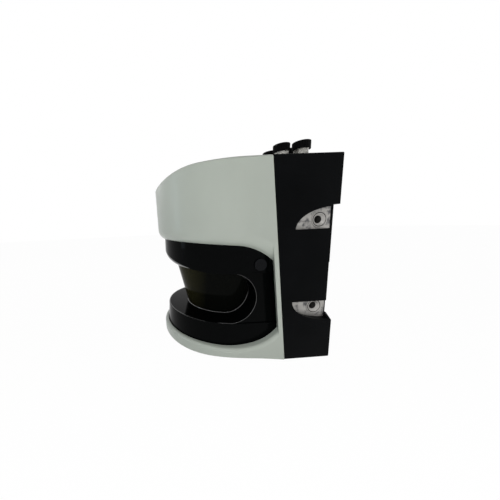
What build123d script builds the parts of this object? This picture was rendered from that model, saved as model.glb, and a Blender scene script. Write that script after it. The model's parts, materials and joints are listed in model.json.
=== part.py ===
from build123d import *
import math
import os

# Compact laser scanner for guarding a machine. Sizes are in millimetres.
# The mirror turns about Z, the base stands on Z = 0, -Y is the front that scans and
# +Y is the rear, where the black casting carries the mounting holes and the connectors.

# Overall form
WIDTH = 160.0
HEIGHT = 185.0
REAR_Y = 78.4
SEAM_FOOT_Y = 35.3
SEAM_TOP_Y = 18.6
FRONT_FOOT_Y = 4.0
FRONT_TOP_Y = -1.0
TOP_FALL = 0.012
TOP_BEND_Y = -42.0
TOP_BEND_RADIUS = 70.0
TOP_BEND_TURN = 50.0

# Pale hood: its shell and the opening that goes round the front and both sides
HOOD_WALL = 3.5
HOOD_RIM = 7.7
HOOD_TOP_ROUND = 2.0
ROOF_BEND_Y = -9.0
ROOF_BEND_Z = 110.0
ROOF_FALL = 0.084
ROOF_ARC_RADIUS = 53.9
ROOF_ROUND = 12.0
ROOF_ARC_END = 22.0
SILL_Z = 12.3
SILL_BEND_Y = -25.0
SILL_MID_Y = 5.0
SILL_MID_RISE = 2.7
SILL_REAR_Y = 38.0
SILL_REAR_RISE = 29.4
SILL_ROUND = 3.6
STRIP_WIDTH = 4.8
STRIP_BEVEL = 3.0
HOOD_STEP_Z = 126.0
FOOT_ARCH_FRONT = (-66.0, 1.3)
FOOT_ARCH_TOP = (-10.0, 4.5)
FOOT_ARCH_END_SLOPE = -0.14
TONGUE_INSET = 7.0
TONGUE_THICKNESS = 3.4
TONGUE_FRONT_Y = 8.0
TONGUE_LAP = 11.5
HOOD_SCREW_INSET = 30.0
HOOD_SCREW_LAP = 7.0

# Gasket in the seam between the hood and the rear casting
GASKET_THICKNESS = 0.8
GASKET_INSET = 1.0

# Rear casting
CAST_SIDE_WALL = 11.0
CAST_END_WALL = 5.0
CAST_REAR_WALL = 4.5
CAST_ROUND = 1.2
REAR_STEP = 1.4
REAR_STEP_TOP_Z = 91.0
MOUNT_Z = 89.8
NOTCH_HEIGHT = 106.4
NOTCH_DEPTH = 7.2
NOTCH_LENGTH = 6.9
NOTCH_FOOT_RISE = 5.3
POCKET_DEPTH = 7.4
POCKET_GAP = 65.6
POCKET_LENGTH = 36.6
POCKET_RISE = 19.2
POCKET_REAR = 2.2

# Threaded bushes for the four side mounting screws
BUSH_Y = 66.0
BUSH_SPACING = 81.8
BUSH_BORE_RADIUS = 3.35
BUSH_RADIUS = 5.5
BUSH_FLANGE_RADIUS = 7.3
BUSH_PROUD = 0.4
BUSH_LENGTH = 12.0
BUSH_CHAMFER = 1.5
BUSH_BOSS_RADIUS = 9.0
BUSH_BOSS_END = 1.5

# Black optics frame with its groove, and the tapered window
FRAME_CLEARANCE = 0.3
BASE_THICKNESS = 8.0
FRAME_TOP_Z = 124.0
FRAME_TAPER = 1.8
SEAM_GAP = 1.0
PANEL_RECESS = 3.3
GROOVE_FLOOR_Z = 34.0
GROOVE_TOP_Z = 84.0
GROOVE_END_Y = 12.0
CHIN_RADIUS = 20.0
CHIN_CENTRE_Y = 36.0
CHIN_OVERLAP = 0.2
RING_ROUND = 1.0
WINDOW_DEPTH = 14.5
WINDOW_SLOPE = 0.25
WINDOW_WALL = 2.5
WINDOW_SINK = 2.0
WINDOW_SEAT_Z = 92.0
WINDOW_FLANGE = 4.0
WINDOW_FLANGE_THICKNESS = 2.2
WINDOW_END_Y = 16.0
WINDOW_CLEARANCE = 0.1
SEAL_THICKNESS = 0.8
BORE_RADIUS = 31.5
BULGE_WALL = 3.5
FLOOR_THICKNESS = 4.0

# Round side lenses that watch the window for dirt
SIDE_LENS_Y = 13.5
SIDE_LENS_Z = 92.0
SIDE_LENS_RADIUS = 5.8
SIDE_LENS_PROUD = 0.9
SIDE_LENS_DEPTH = 4.0
SIDE_LENS_FRAME = 14.6
SIDE_LENS_SINK = 0.5

# Spinning mirror and its motor
SCAN_Z = 62.0
CARRIER_RADIUS = 25.0
CARRIER_BOTTOM_Z = 37.5
CARRIER_HUB_RADIUS = 8.0
HUB_CLEARANCE = 2.5
MIRROR_THICKNESS = 2.5
MIRROR_INSET = 0.5
SHAFT_RADIUS = 3.0
SHAFT_BOTTOM_Z = 11.4
SHAFT_TOP_Z = 47.0
RUNNING_CLEARANCE = 0.05
BEARING_RADIUS = 8.0
BEARING_HEIGHT = 5.0
BEARING_BOSS = 2.5
MOTOR_BOTTOM_Z = 9.0
MOTOR_RADIUS = 24.0
MOTOR_WALL = 1.8
MOTOR_LID = 2.2
MOTOR_FLANGE_RADIUS = 28.0
MAGNET_RADIUS = 12.0
MAGNET_GAP = 0.6
ENCODER_RADIUS = 20.0
ENCODER_THICKNESS = 0.8
ENCODER_GAP = 1.6
SENSOR_WIDTH = 12.0
SENSOR_REACH = 3.5
SENSOR_DEPTH = 8.0
SENSOR_JAW = 1.2
SENSOR_GAP = 0.6

# Receiving lens, laser and boards
CHASSIS_THICKNESS = 3.5
CHASSIS_INSET = 0.5
TUBE_BOTTOM_Z = 94.0
TUBE_ROOF_GAP = 35.0
TUBE_RADIUS = 30.0
TUBE_WALL = 3.0
TUBE_LIP = 1.2
TUBE_FLANGE_RADIUS = 38.0
TUBE_FLANGE_THICKNESS = 3.0
LENS_EDGE = 3.0
LENS_CROWN = 5.0
LENS_CLEARANCE = 0.1
LASER_RADIUS = 5.0
LASER_HEAD_RADIUS = 8.0
LASER_BOTTOM_Z = 92.0
LASER_HEAD_LENGTH = 15.0
BOARD_THICKNESS = 1.6
DETECTOR_RADIUS = 4.5
DETECTOR_HEIGHT = 6.0
BOARD_Y = 50.0
STANDOFF_RADIUS = 3.5
BOARD_GAP = 13.0
MAIN_BOARD_BOTTOM_Z = 15.0
BOARD_SPACING = 14.0
POWER_BOARD_SHARE = 0.7
POWER_BOARD_HEIGHT = 44.0
POWER_BOARD_ROOF_GAP = 15.0
BOARD_MARGIN = 6.0
CHIP_SIZE = 20.0
CHIP_PITCH = 30.0
CAPACITOR_RADIUS = 8.0
CAPACITOR_LENGTH = 16.0
CAPACITOR_PITCH = 26.0
LUG_WIDTH = 21.0
LUG_HEIGHT = 6.0
LUG_DEPTH = 18.0

# Screws: head and thread sizes, and the gap round a screw or a bush in its hole
FIT_GAP = 0.05
SCREW_RADIUS = 1.5
SCREW_HEAD_RADIUS = 3.0
SCREW_HEAD = 1.9
SCREW_LENGTH = 10.0
SCREW_SOCKET_RADIUS = 1.1
SCREW_SOCKET_DEPTH = 1.0
BASE_SCREW_INSET = 13.0
BASE_SCREW_FRONT_TURN = 28.0
BASE_SCREW_MID_INSET = 26.0
BASE_SCREW_MID_Y = 20.0
BASE_SCREW_REAR_INSET = 40.0
BASE_TONGUE_INSET = 11.0
BASE_TONGUE_LAP = 12.0
CHASSIS_SCREW_TURN = 45.0
LUG_SCREW_INSET = 9.0

# Round connectors on the top of the casting, with their screw caps
CONNECTOR_INSET = 20.0
CONNECTOR_REAR_Y = 55.0
CONNECTOR_PITCH = 18.5
COLLAR_RADIUS = 6.0
COLLAR_BORE_RADIUS = 4.6
COLLAR_BORE_DEPTH = 9.0
COLLAR_HEIGHT_REAR = 13.9
COLLAR_HEIGHT_FRONT = 12.2
CONNECTOR_BODY_DEPTH = 14.0
CONNECTOR_FLANGE_RADIUS = 7.2
CONNECTOR_FLANGE_THICKNESS = 1.6
PIN_RADIUS = 0.5
PIN_CIRCLE_RADIUS = 2.4
PIN_HEIGHT = 4.0
INSERT_THICKNESS = 2.0
PIN_COUNT = 5
CAP_RADIUS_REAR = 7.4
CAP_RADIUS_FRONT = 6.9
CAP_HEIGHT = 6.6
CAP_TOP = 1.4
CAP_CLEARANCE = 0.1
CAP_SEAT_GAP = 0.1
CAP_FLUTES = 24
CAP_FLUTE_RADIUS = 0.35
CAP_ROUND = 0.5
CONNECTOR_NAMES = ("power", "network", "signal", "service")

# Sizes worked out from the values above
HALF_WIDTH = WIDTH / 2
FRAME_RADIUS = HALF_WIDTH - HOOD_RIM - FRAME_CLEARANCE
WINDOW_TOP_RADIUS = FRAME_RADIUS - WINDOW_DEPTH
GROOVE_MID_Z = (GROOVE_FLOOR_Z + GROOVE_TOP_Z) / 2
GROOVE_HALF = (GROOVE_TOP_Z - GROOVE_FLOOR_Z) / 2
FLOOR_Z = GROOVE_FLOOR_Z - WINDOW_SINK
CAST_X = HALF_WIDTH - CAST_SIDE_WALL
CAST_TOP_Z = HEIGHT - CAST_END_WALL
CAST_BACK_Y = REAR_Y - REAR_STEP - CAST_REAR_WALL
POCKET_FLOOR_X = HALF_WIDTH - POCKET_DEPTH
CONNECTOR_X = HALF_WIDTH - CONNECTOR_INSET
HOOD_SCREW_X = HALF_WIDTH - HOOD_SCREW_INSET
LUG_SCREW_X = CAST_X - LUG_SCREW_INSET
BASE_SCREW_REAR_X = HALF_WIDTH - BASE_SCREW_REAR_INSET
MAIN_BOARD_WIDTH = 2 * (CAST_X - BOARD_GAP)
POWER_BOARD_WIDTH = POWER_BOARD_SHARE * MAIN_BOARD_WIDTH
POWER_BOARD_X = (POWER_BOARD_WIDTH - MAIN_BOARD_WIDTH) / 2
POWER_BOARD_TOP_Z = HEIGHT - POWER_BOARD_ROOF_GAP
POWER_BOARD_BOTTOM_Z = POWER_BOARD_TOP_Z - POWER_BOARD_HEIGHT
MAIN_BOARD_TOP_Z = POWER_BOARD_BOTTOM_Z - BOARD_SPACING
TUBE_TOP_Z = HEIGHT - TUBE_ROOF_GAP
CHASSIS_TOP_Z = FRAME_TOP_Z + CHASSIS_THICKNESS
LID_BOTTOM_Z = FLOOR_Z - FLOOR_THICKNESS - MOTOR_LID
FAR = 4 * WIDTH
UP = (Align.CENTER, Align.CENTER, Align.MIN)


def seam_y(z):
    """Y of the leaning seam plane at height z."""
    return SEAM_FOOT_Y + (SEAM_TOP_Y - SEAM_FOOT_Y) * z / HEIGHT


def window_radius(z):
    """Outer radius of the tapered window at height z."""
    return WINDOW_TOP_RADIUS + WINDOW_SLOPE * (z - GROOVE_TOP_Z)


def disc(radius, bottom, top, x=0.0, y=0.0):
    """Upright cylinder between two heights."""
    return Pos(x, y, bottom) * Cylinder(radius, top - bottom, align=UP)


def block(x_span, y_span, z_span):
    """Box between two limits on each axis."""
    size = [high - low for low, high in (x_span, y_span, z_span)]
    middle = [(high + low) / 2 for low, high in (x_span, y_span, z_span)]
    return Pos(*middle) * Box(*size)


def prism(outline, half_width=FAR):
    """Solid across X over a closed face drawn with (Y, Z) as its plane."""
    return extrude(Plane.YZ * outline, amount=half_width, both=True)


def polygon(*points):
    """Closed flat face through the given points."""
    return make_face(Polyline(*points, close=True))


def turned(*points):
    """Solid of revolution about Z over (radius, Z) points."""
    return revolve(Plane.XZ * polygon(*points), axis=Axis.Z)


def side_rod(radius, x_from, x_to, y, z):
    """Cylinder lying along X."""
    length = abs(x_to - x_from)
    return Pos((x_from + x_to) / 2, y, z) * Rot(0, 90, 0) * Cylinder(radius, length)


def before_seam(gap):
    """Everything in front of the seam plane, less a gap."""
    low, high = -HEIGHT, 2 * HEIGHT
    return prism(polygon((-FAR, low), (seam_y(low) - gap, low), (seam_y(high) - gap, high), (-FAR, high)))


def behind_seam():
    """Everything behind the seam plane."""
    low, high = -HEIGHT, 2 * HEIGHT
    return prism(polygon((FAR, low), (seam_y(low), low), (seam_y(high), high), (FAR, high)))


def d_face(radius, centre_y, rear_y):
    """D-shaped face: a half disc in front and straight sides back to rear_y."""
    left, right = (-radius, centre_y), (radius, centre_y)
    front = ThreePointArc(left, (0, centre_y - radius), right)
    back = Polyline(right, (radius, rear_y), (-radius, rear_y), left)
    return make_face(front + back)


def d_block(radius, bottom, top, rear_y=REAR_Y, taper=0.0):
    """Upright D-shaped block centred on the scan axis."""
    return extrude(Pos(0, 0, bottom) * d_face(radius, 0, rear_y), amount=top - bottom, taper=taper)


def leaning_block(radius, bottom, top):
    """D-shaped block whose front leans forward on its way up, as the hood's does."""
    lean = (FRONT_TOP_Y - FRONT_FOOT_Y) / HEIGHT
    rise = Vector(0, lean * (top - bottom), top - bottom)
    face = Pos(0, 0, bottom) * d_face(radius, FRONT_FOOT_Y + lean * bottom, WIDTH)
    return extrude(face, amount=rise.length, dir=rise)


def below_roofline(drop):
    """Everything under the hood's top, which falls gently and then bends down at the front."""
    slope = math.atan(TOP_FALL)
    bend = Vector(TOP_BEND_Y, HEIGHT - drop - TOP_FALL * (SEAM_TOP_Y - TOP_BEND_Y))
    centre = bend - Vector(-math.sin(slope), math.cos(slope)) * TOP_BEND_RADIUS
    turns = [slope + math.radians(TOP_BEND_TURN) * share for share in (0.5, 1)]
    middle, end = [centre + Vector(-math.sin(turn), math.cos(turn)) * TOP_BEND_RADIUS for turn in turns]
    rear = bend + Vector(1, TOP_FALL) * FAR
    top = Line(rear, bend) + ThreePointArc(bend, middle, end)
    frame = Polyline(end, (end.X, -HEIGHT), (rear.X, -HEIGHT), rear)
    return prism(make_face(top + frame))


def foot_arch():
    """Space under the hood's lower edge, which rises a little at the sides and meets the foot at the seam."""
    start = (-FAR, FOOT_ARCH_FRONT[1])
    end = (seam_y(0), 0)
    curve = Spline(FOOT_ARCH_FRONT, FOOT_ARCH_TOP, end, tangents=[(1, 0), (1, FOOT_ARCH_END_SLOPE)])
    frame = Polyline(end, (seam_y(0), -HEIGHT), (-FAR, -HEIGHT), start, FOOT_ARCH_FRONT)
    return prism(make_face(curve + frame))


def curved_edges_below(solid, height):
    """Edges of a cut rim: every edge that isn't straight and lies below a height."""
    return [edge for edge in solid.edges() if edge.geom_type != GeomType.LINE and edge.center().Z < height]


def hood_upper():
    """Hood above the opening: straight roof in front, an arc falling behind, rounded rim."""
    angle = math.atan(ROOF_FALL)
    last = math.radians(ROOF_ARC_END)
    bend = Vector(ROOF_BEND_Y, ROOF_BEND_Z)
    centre = bend - Vector(math.sin(angle), math.cos(angle)) * ROOF_ARC_RADIUS
    middle = (math.pi / 2 - angle + last) / 2
    on_arc = [centre + Vector(math.cos(turn), math.sin(turn)) * ROOF_ARC_RADIUS for turn in (middle, last)]
    start = bend + Vector(-1, ROOF_FALL) * WIDTH
    roof = Line(start, bend) + ThreePointArc(bend, *on_arc)
    frame = Polyline(on_arc[1], (FAR, on_arc[1].Y), (FAR, FAR), (start.X, FAR), start)
    upper = leaning_block(HALF_WIDTH, 0, HEIGHT + HOOD_WALL) & prism(make_face(roof + frame))
    upper = fillet(curved_edges_below(upper, (HEIGHT + ROOF_BEND_Z) / 2), ROOF_ROUND)
    upper &= below_roofline(0)
    top_edges = [edge for edge in upper.edges() if edge.center().Z > HOOD_STEP_Z
                 and edge.geom_type != GeomType.LINE]
    return fillet(top_edges, HOOD_TOP_ROUND)


def hood_lip():
    """Hood below the opening: a level sill in front that sweeps up to the rear, rounded rim."""
    start = (-FAR, SILL_Z)
    level = Line(start, (SILL_BEND_Y, SILL_Z))
    gentle = TangentArc((SILL_BEND_Y, SILL_Z), (SILL_MID_Y, SILL_Z + SILL_MID_RISE), tangent=(1, 0))
    steep = TangentArc(gentle @ 1, (SILL_REAR_Y, SILL_Z + SILL_REAR_RISE), tangent=gentle % 1)
    frame = Polyline(steep @ 1, (FAR, SILL_Z + SILL_REAR_RISE), (FAR, -HEIGHT), (-FAR, -HEIGHT), start)
    lip = leaning_block(HALF_WIDTH, 0, HEIGHT) & prism(make_face(level + gentle + steep + frame))
    rim = [edge for edge in lip.edges() if edge.geom_type != GeomType.LINE and edge.center().Z > SILL_Z / 2]
    return fillet(rim, SILL_ROUND)


def hood_strip():
    """Narrow strip of the hood between the opening and the seam, its front face bevelled."""
    low, high = SILL_Z, ROOF_BEND_Z
    edge_low, edge_high = seam_y(low) - STRIP_WIDTH, seam_y(high) - STRIP_WIDTH
    outline = polygon((edge_low, low), (WIDTH, low), (WIDTH, high), (edge_high, high))
    inward = Vector(-HOOD_RIM, STRIP_BEVEL, 0)
    right = extrude(Pos(HALF_WIDTH, 0, 0) * (Plane.YZ * outline), amount=inward.length, dir=inward)
    return right + mirror(right, about=Plane.YZ)


def hood():
    """Pale hood, one moulding: cap over the top, side strips, lip round the foot."""
    skin = (hood_upper() + hood_lip() + hood_strip()) & before_seam(GASKET_THICKNESS)
    low_void = d_block(FRAME_RADIUS + FRAME_CLEARANCE, -HOOD_WALL, HOOD_STEP_Z, WIDTH)
    high_void = leaning_block(HALF_WIDTH - HOOD_WALL, HOOD_STEP_Z, HEIGHT) & below_roofline(HOOD_WALL)
    tongue_top = CAST_TOP_Z - FRAME_CLEARANCE
    half = CAST_X - TONGUE_INSET
    rear_y = SEAM_TOP_Y + TONGUE_LAP
    tongue = block((-half, half), (TONGUE_FRONT_Y, rear_y), (tongue_top - TONGUE_THICKNESS, tongue_top))
    root = block((-half, half), (TONGUE_FRONT_Y, seam_y(HEIGHT) - GASKET_THICKNESS - FRAME_CLEARANCE),
                 (tongue_top - TONGUE_THICKNESS, HEIGHT - HOOD_WALL / 2))
    shell = skin - foot_arch() - low_void - high_void + tongue + root
    for side in (-1, 1):
        shell -= disc(SCREW_RADIUS, 0, HEIGHT, side * HOOD_SCREW_X, SEAM_TOP_Y + HOOD_SCREW_LAP)
    return shell


def hood_gasket():
    """Thin seal in the seam, a frame round the mouth of the casting."""
    slab = before_seam(0) - before_seam(GASKET_THICKNESS)
    outer, inner = HALF_WIDTH - GASKET_INSET, FRAME_RADIUS + FRAME_CLEARANCE + GASKET_INSET
    span = (-FAR, FAR)
    body = block((-outer, outer), span, (GASKET_INSET, HEIGHT - GASKET_INSET))
    return slab & (body - block((-inner, inner), span, (CAST_END_WALL, CAST_TOP_Z)))


def pocket_face(level):
    """Outline of one side pocket: flat towards the middle, a quarter ellipse away from it."""
    rear_y = REAR_Y - POCKET_REAR
    flat_z = MOUNT_Z + level * POCKET_GAP / 2
    oval = Pos(rear_y, flat_z) * Ellipse(POCKET_LENGTH, POCKET_RISE)
    corner = Pos(rear_y - POCKET_LENGTH, flat_z + level * POCKET_RISE)
    return oval & (corner * Rectangle(2 * POCKET_LENGTH, 2 * POCKET_RISE))


def corner_notch(side):
    """Notch along a rear corner that joins the two pockets, its foot sloping up inwards."""
    low, high = MOUNT_Z - NOTCH_HEIGHT / 2, MOUNT_Z + NOTCH_HEIGHT / 2
    inner_x = HALF_WIDTH - NOTCH_DEPTH
    outline = polygon((side * FAR, low), (side * HALF_WIDTH, low), (side * inner_x, low + NOTCH_FOOT_RISE),
                      (side * inner_x, high), (side * FAR, high))
    corner = block((-FAR, FAR), (REAR_Y - NOTCH_LENGTH, FAR), (0, HEIGHT))
    return extrude(Plane.XZ * outline, amount=-FAR) & corner


def bush_places():
    """Side and height of each of the four mounting bushes."""
    return [(side, MOUNT_Z + level * BUSH_SPACING / 2) for side in (-1, 1) for level in (-1, 1)]


def rear_housing():
    """Black rear casting: box with a leaning front, side pockets and notched rear corners."""
    shell = block((-HALF_WIDTH, HALF_WIDTH), (0, REAR_Y), (0, HEIGHT))
    shell = fillet(shell.edges().filter_by(GeomType.LINE).group_by(Axis.Y)[-1]
                   + shell.edges().filter_by(Axis.Y), CAST_ROUND)
    shell &= behind_seam()
    shell -= block((-CAST_X, CAST_X), (-FAR, CAST_BACK_Y), (CAST_END_WALL, CAST_TOP_Z))
    step_z = (MOUNT_Z - NOTCH_HEIGHT / 2 + NOTCH_FOOT_RISE, REAR_STEP_TOP_Z)
    shell -= block((-FAR, FAR), (REAR_Y - REAR_STEP, FAR), step_z)
    for level in (-1, 1):
        sketch = pocket_face(level)
        shell -= prism(sketch) - prism(sketch, POCKET_FLOOR_X)
    for side, z in bush_places():
        inner_x = side * (POCKET_FLOOR_X - BUSH_LENGTH - BUSH_BOSS_END)
        boss = side_rod(BUSH_BOSS_RADIUS, side * POCKET_FLOOR_X, inner_x, BUSH_Y, z)
        shell += boss & block((-FAR, FAR), (0, CAST_BACK_Y + CAST_REAR_WALL / 2), (0, HEIGHT))
        shell -= side_rod(BUSH_RADIUS, side * HALF_WIDTH, side * (POCKET_FLOOR_X - BUSH_LENGTH), BUSH_Y, z)
    shell += [casting_lugs(), *board_standoffs()]
    for x, y, *_ in connector_places():
        shell -= disc(COLLAR_RADIUS, CAST_TOP_Z, HEIGHT, x, y)
    for side in (-1, 1):
        shell -= corner_notch(side)
        shell -= screw_hole(side * HOOD_SCREW_X, SEAM_TOP_Y + HOOD_SCREW_LAP, HEIGHT, -1)
        shell -= screw_hole(side * BASE_SCREW_REAR_X, base_screw_rear_y(), 0, 1)
        shell -= disc(SCREW_RADIUS, 0, HEIGHT, side * LUG_SCREW_X, lug_screw_y()) & lug_space()
    return shell


def lug_space():
    """Space of the two ledges that carry the chassis plate inside the casting."""
    front_y = seam_y(FRAME_TOP_Z)
    return block((-CAST_X, CAST_X), (front_y, front_y + LUG_DEPTH), (FRAME_TOP_Z - LUG_HEIGHT, FRAME_TOP_Z))


def casting_lugs():
    """Two ledges on the inner side walls that the chassis plate is screwed to."""
    gap = CAST_X - LUG_WIDTH
    return lug_space() - block((-gap, gap), (-FAR, FAR), (0, HEIGHT))


def standoff_places():
    """X and Z of every board standoff on the casting's back wall."""
    half = MAIN_BOARD_WIDTH / 2 - BOARD_MARGIN
    main = [(side * half, z) for side in (-1, 1)
            for z in (MAIN_BOARD_BOTTOM_Z + BOARD_MARGIN, MAIN_BOARD_TOP_Z - BOARD_MARGIN)]
    reach = POWER_BOARD_WIDTH / 2 - BOARD_MARGIN
    middle_z = (POWER_BOARD_BOTTOM_Z + POWER_BOARD_TOP_Z) / 2
    return main + [(POWER_BOARD_X + side * reach, middle_z) for side in (-1, 1)]


def board_standoffs():
    """Round posts from the casting's back wall to the boards."""
    length = CAST_BACK_Y - BOARD_Y
    posts = [Pos(x, BOARD_Y, z) * Rot(-90, 0, 0) * Cylinder(STANDOFF_RADIUS, length, align=UP)
             for x, z in standoff_places()]
    return posts


def mount_bush(side, z):
    """Threaded steel bush with a thin flange on the pocket's floor."""
    inner_x, face_x = POCKET_FLOOR_X - BUSH_LENGTH, POCKET_FLOOR_X + BUSH_PROUD
    bush = side_rod(BUSH_RADIUS - FIT_GAP, side * inner_x, side * POCKET_FLOOR_X, BUSH_Y, z)
    bush += side_rod(BUSH_FLANGE_RADIUS, side * POCKET_FLOOR_X, side * face_x, BUSH_Y, z)
    bush -= side_rod(BUSH_BORE_RADIUS, 0, side * FAR, BUSH_Y, z)
    mouth = Cone(BUSH_BORE_RADIUS, BUSH_BORE_RADIUS + BUSH_CHAMFER, BUSH_CHAMFER, align=UP)
    return bush - Pos(side * (face_x - BUSH_CHAMFER), BUSH_Y, z) * Rot(0, side * 90, 0) * mouth


def window_cone(extra, bottom, top):
    """Solid of the window's outer taper, made larger or smaller by a radial extra."""
    low_radius, high_radius = window_radius(bottom) + extra, window_radius(top) + extra
    return turned((0, bottom), (low_radius, bottom), (high_radius, top), (0, top))


def in_front(y):
    """Everything in front of a plane across the sensor."""
    return block((-FAR, FAR), (-FAR, y), (-FAR, FAR))


def chin_space():
    """Space under the frame's crown: flat over the sides, rising in an arc towards the front."""
    ring = CHIN_CENTRE_Y + FRAME_RADIUS - CHIN_RADIUS + CHIN_OVERLAP
    top = GROOVE_TOP_Z + CHIN_RADIUS
    turn = math.radians(45)
    middle = (ring + CHIN_RADIUS * math.sin(turn), top - CHIN_RADIUS * math.cos(turn))
    arc = ThreePointArc((ring, GROOVE_TOP_Z), middle, (ring + CHIN_RADIUS, top))
    frame = Polyline((ring + CHIN_RADIUS, top), (FAR, top), (FAR, GROOVE_MID_Z), (0, GROOVE_MID_Z),
                     (0, GROOVE_TOP_Z), (ring, GROOVE_TOP_Z))
    return Pos(0, CHIN_CENTRE_Y, 0) * revolve(Plane.XZ * make_face(arc + frame), axis=Axis.Z)


def groove():
    """Scan groove: a slot with a round rear end, cut round the window's taper under a rounded chin."""
    centre_y = GROOVE_END_Y - GROOVE_HALF
    slot = Pos(centre_y, GROOVE_MID_Z) * Circle(GROOVE_HALF)
    slot += Pos(centre_y - FAR / 2, GROOVE_MID_Z) * Rectangle(FAR, 2 * GROOVE_HALF)
    return prism(slot) + (chin_space() & in_front(centre_y)) - window_cone(0, 0, WINDOW_SEAT_Z)


def window_space(extra):
    """Solid envelope of the window, for the window itself and for its seat in the frame."""
    flange = window_radius(WINDOW_SEAT_Z) + WINDOW_FLANGE + extra
    body = window_cone(extra, FLOOR_Z, WINDOW_SEAT_Z) + disc(flange, WINDOW_SEAT_Z, FRAME_TOP_Z)
    return body & in_front(WINDOW_END_Y + extra)


def optics_frame():
    """Black frame: D-shaped body with the scan groove, carrying the motor and the window."""
    slope = math.degrees(math.atan(FRAME_TAPER / (GROOVE_FLOOR_Z - BASE_THICKNESS)))
    foot = d_block(FRAME_RADIUS, BASE_THICKNESS, GROOVE_FLOOR_Z, taper=slope)
    foot = fillet(foot.faces().sort_by(Axis.Z)[-1].edges(), RING_ROUND)
    waist = d_block(FRAME_RADIUS - PANEL_RECESS, BASE_THICKNESS, GROOVE_TOP_Z)
    crown = d_block(FRAME_RADIUS, GROOVE_TOP_Z, FRAME_TOP_Z)
    bulge = disc(BORE_RADIUS + BULGE_WALL, BASE_THICKNESS, FRAME_TOP_Z)
    body = ((foot + waist + crown) & before_seam(SEAM_GAP)) + bulge
    body -= groove()
    body -= window_space(WINDOW_CLEARANCE)
    body -= disc(BORE_RADIUS, FLOOR_Z, FRAME_TOP_Z)
    body -= disc(MOTOR_FLANGE_RADIUS + FRAME_CLEARANCE, BASE_THICKNESS, FLOOR_Z - FLOOR_THICKNESS)
    body -= disc(CARRIER_HUB_RADIUS + HUB_CLEARANCE, BASE_THICKNESS, HEIGHT)
    for side in (-1, 1):
        body -= side_lens_seat(side)
        for x, y in base_screw_places():
            body -= disc(SCREW_RADIUS, BASE_THICKNESS, BASE_THICKNESS + SCREW_LENGTH, side * x, y)
        x, y = chassis_screw_place()
        body -= disc(SCREW_RADIUS, FRAME_TOP_Z - SCREW_LENGTH, FRAME_TOP_Z, side * x, y)
    return body


def side_lens_seat(side):
    """Cut for a side lens: a round hole in a shallow square."""
    floor_x, half = FRAME_RADIUS - SIDE_LENS_SINK, SIDE_LENS_FRAME / 2
    hole = side_rod(SIDE_LENS_RADIUS + WINDOW_CLEARANCE, side * (floor_x - SIDE_LENS_DEPTH), side * FAR,
                    SIDE_LENS_Y, SIDE_LENS_Z)
    y_span, z_span = (SIDE_LENS_Y - half, SIDE_LENS_Y + half), (SIDE_LENS_Z - half, SIDE_LENS_Z + half)
    return hole + block(sorted((side * floor_x, side * FAR)), y_span, z_span)


def window():
    """Dark tapered window: a thin shell with a seating flange along its top."""
    outer = window_cone(0, FLOOR_Z, WINDOW_SEAT_Z)
    inner = window_cone(-WINDOW_WALL, FLOOR_Z, WINDOW_SEAT_Z + WINDOW_FLANGE_THICKNESS)
    low, high = WINDOW_SEAT_Z + SEAL_THICKNESS, WINDOW_SEAT_Z + SEAL_THICKNESS + WINDOW_FLANGE_THICKNESS
    neck = disc(window_radius(WINDOW_SEAT_Z), WINDOW_SEAT_Z, high)
    flange = disc(window_radius(WINDOW_SEAT_Z) + WINDOW_FLANGE - WINDOW_CLEARANCE, low, high)
    shell = outer + neck + flange - inner
    shell -= disc(window_radius(WINDOW_SEAT_Z) - WINDOW_WALL, WINDOW_SEAT_Z, high)
    return shell & in_front(WINDOW_END_Y)


def window_seal():
    """Flat seal under the window's flange."""
    outer = window_radius(WINDOW_SEAT_Z) + WINDOW_FLANGE - WINDOW_CLEARANCE
    inner = window_radius(WINDOW_SEAT_Z) + WINDOW_CLEARANCE
    ring = disc(outer, WINDOW_SEAT_Z, WINDOW_SEAT_Z + SEAL_THICKNESS) - disc(inner, 0, HEIGHT)
    return ring & in_front(WINDOW_END_Y)


def window_clamp():
    """Sleeve that the chassis plate presses down on the window's flange."""
    bottom = WINDOW_SEAT_Z + SEAL_THICKNESS + WINDOW_FLANGE_THICKNESS
    outer = window_radius(WINDOW_SEAT_Z) + WINDOW_FLANGE - WINDOW_CLEARANCE
    sleeve = disc(outer, bottom, FRAME_TOP_Z) - disc(outer - WINDOW_FLANGE, 0, HEIGHT)
    return sleeve & in_front(WINDOW_END_Y)


def side_lens(side):
    """Round lens in the side panel that looks along the window for dirt."""
    back_x = FRAME_RADIUS - SIDE_LENS_SINK - SIDE_LENS_DEPTH
    front_x = FRAME_RADIUS + SIDE_LENS_PROUD
    lens = side_rod(SIDE_LENS_RADIUS, side * back_x, side * front_x, SIDE_LENS_Y, SIDE_LENS_Z)
    outer = lens.faces().sort_by(Axis.X)[-1 if side > 0 else 0]
    return fillet(outer.edges(), SIDE_LENS_PROUD / 2)


def base_screw_places():
    """X and Y of the front and middle base screws on the right side."""
    turn = math.radians(BASE_SCREW_FRONT_TURN)
    reach = FRAME_RADIUS - BASE_SCREW_INSET
    front = (reach * math.cos(turn), -reach * math.sin(turn))
    return front, (FRAME_RADIUS - BASE_SCREW_MID_INSET, BASE_SCREW_MID_Y)


def base_screw_rear_y():
    """Y of the two rear base screws, behind the seam's foot."""
    return seam_y(0) + BASE_TONGUE_LAP / 2


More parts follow.
